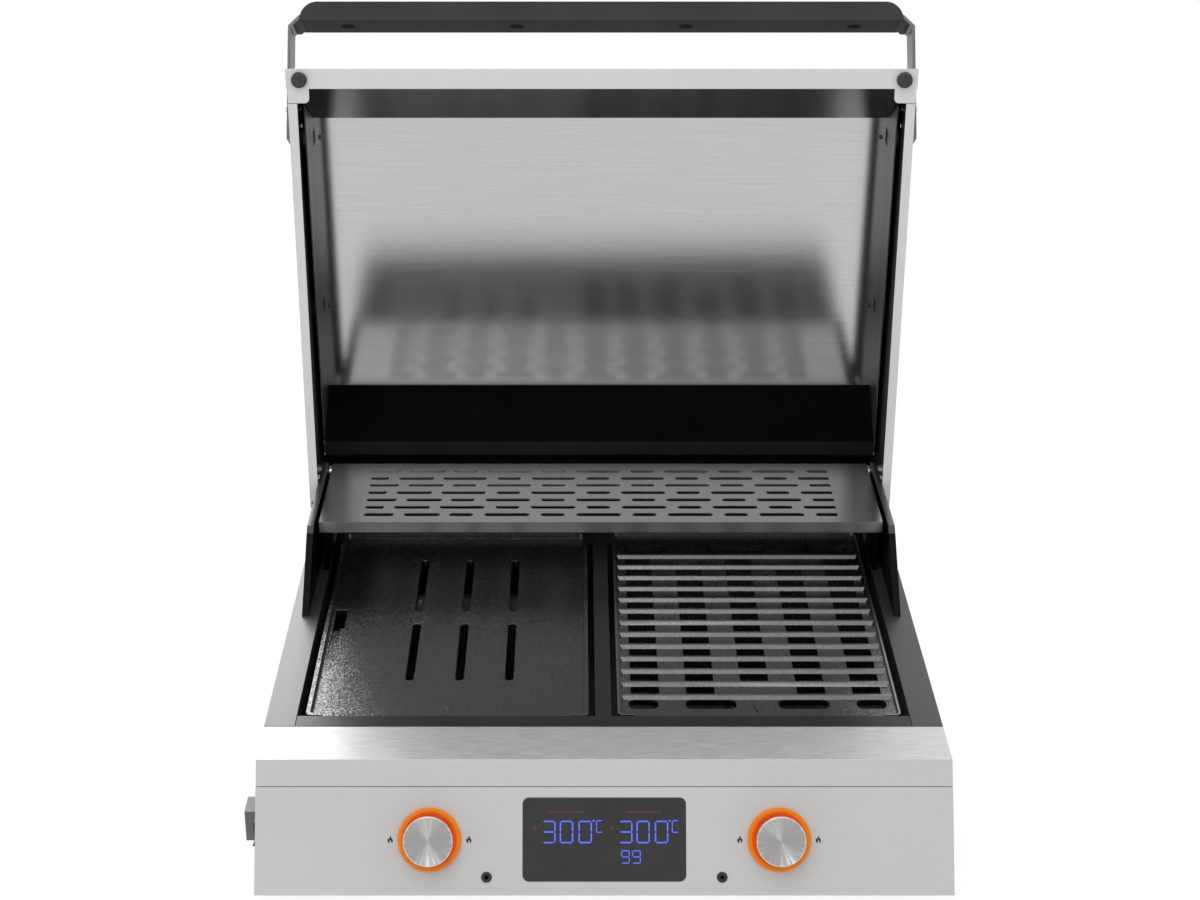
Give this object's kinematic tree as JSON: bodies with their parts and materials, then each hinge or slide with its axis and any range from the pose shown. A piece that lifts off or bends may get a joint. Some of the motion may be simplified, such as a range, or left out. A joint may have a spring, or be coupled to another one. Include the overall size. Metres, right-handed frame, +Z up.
{
  "type": "electric grill",
  "caption": "Countertop electric grill with a griddle zone and a ridged grate zone, a warming rack, a sloped control panel and a hinged lid with a long grip bar.",
  "frame": {"origin": "middle of the footprint, on the table", "axes": "+X to the grill's right as the user sees it, +Y to the back, +Z up"},
  "size_m": [0.6198, 0.6603, 0.6634],
  "materials": {
    "body_sheet": "fine satin",
    "deck_steel": "brushed along the width",
    "dark_frame": "satin black",
    "cheek_black": "matt black",
    "rack_steel": "polished sheet",
    "firebox_steel": "aluminised sheet",
    "element_sheath": "oxidised tube",
    "ceramic": "unglazed ceramic",
    "plate_casting": "speckled non-stick coating",
    "window_glass": "dark gloss",
    "dark_plastic": "matt black",
    "rocker_plastic": "satin",
    "circuit_board": "solder mask",
    "plated_steel": "bright plating",
    "knob_metal": "brushed face",
    "lit_ring": "lit translucent ring",
    "rubber": "matt",
    "lid_sheet": "fine satin",
    "shield_steel": "brushed along the width",
    "black_enamel": "black enamel",
    "handle_coat": "satin dark grey"
  },
  "bodies": {
    "base": {"base_tub": "body_sheet", "control_panel": "body_sheet", "cable_box": "body_sheet", "front_cap": "deck_steel", "side_rail_left": "deck_steel", "side_rail_right": "deck_steel", "deck_frame": "dark_frame", "rear_upstand": "dark_frame", "rack_brackets": "dark_frame", "cheek_left": "cheek_black", "cheek_right": "cheek_black", "cheek_screws": "cheek_black", "warming_rack": "rack_steel", "firebox_left": "firebox_steel", "firebox_right": "firebox_steel", "tray_runners": "firebox_steel", "heating_element_left": "element_sheath", "heating_element_right": "element_sheath", "sensors": "element_sheath", "terminal_blocks": "ceramic", "display_window": "window_glass", "display_module": "dark_plastic", "encoder_left": "dark_plastic", "encoder_right": "dark_plastic", "power_parts": "dark_plastic", "probe_jack_left": "dark_plastic", "probe_jack_right": "dark_plastic", "switch_body": "dark_plastic", "control_board": "circuit_board", "power_board": "circuit_board", "board_standoffs": "plated_steel", "foot_screws": "plated_steel", "light_ring_left": "lit_ring", "light_ring_right": "lit_ring", "feet": "rubber", "cable_gland": "rubber"},
    "lid": {"lid_shell": "lid_sheet", "lid_front": "lid_sheet", "heat_shield": "shield_steel", "front_baffle": "black_enamel", "rear_baffle": "black_enamel", "shield_posts": "black_enamel", "shield_screws": "black_enamel", "lid_bumpers": "rubber", "handle_bar": "handle_coat", "handle_arm_left": "lid_sheet", "handle_arm_right": "lid_sheet", "handle_end_blocks": "handle_coat", "handle_bolts": "plated_steel", "hinge_pin_left": "plated_steel", "hinge_pin_right": "plated_steel"},
    "knob_l": {"knob_left": "knob_metal", "knob_shaft_left": "plated_steel"},
    "knob_r": {"knob_right": "knob_metal", "knob_shaft_right": "plated_steel"},
    "rocker": {"switch_rocker": "rocker_plastic"},
    "griddle": {"griddle_plate": "plate_casting"},
    "grate": {"grate_plate": "plate_casting"},
    "tray": {"drip_tray": "firebox_steel"}
  },
  "joints": [
    {"name": "lid_hinge", "type": "hinge", "parent": "base", "child": "lid", "pos_m": [0, 0.2093, 0.172], "axis": [1, 0, 0], "range_deg": [0, 90]},
    {"name": "knob_left_turn", "type": "hinge", "parent": "base", "child": "knob_l", "pos_m": [-0.15, -0.29949, 0.06082], "axis": [0, -0.8704, 0.4924], "continuous": true},
    {"name": "knob_right_turn", "type": "hinge", "parent": "base", "child": "knob_r", "pos_m": [0.15, -0.29949, 0.06082], "axis": [0, -0.8704, 0.4924], "continuous": true},
    {"name": "switch_rock", "type": "hinge", "parent": "base", "child": "rocker", "pos_m": [-0.296, -0.275, 0.052], "axis": [0, 1, 0], "range_deg": [-20, 0]},
    {"name": "griddle_lift", "type": "slide", "parent": "base", "child": "griddle", "axis": [0, 0, 1], "range_m": [0, 0.03]},
    {"name": "grate_lift", "type": "slide", "parent": "base", "child": "grate", "axis": [0, 0, 1], "range_m": [0, 0.03]},
    {"name": "tray_slide", "type": "slide", "parent": "base", "child": "tray", "axis": [0, 1, 0], "range_m": [0, 0.3]}
  ]
}
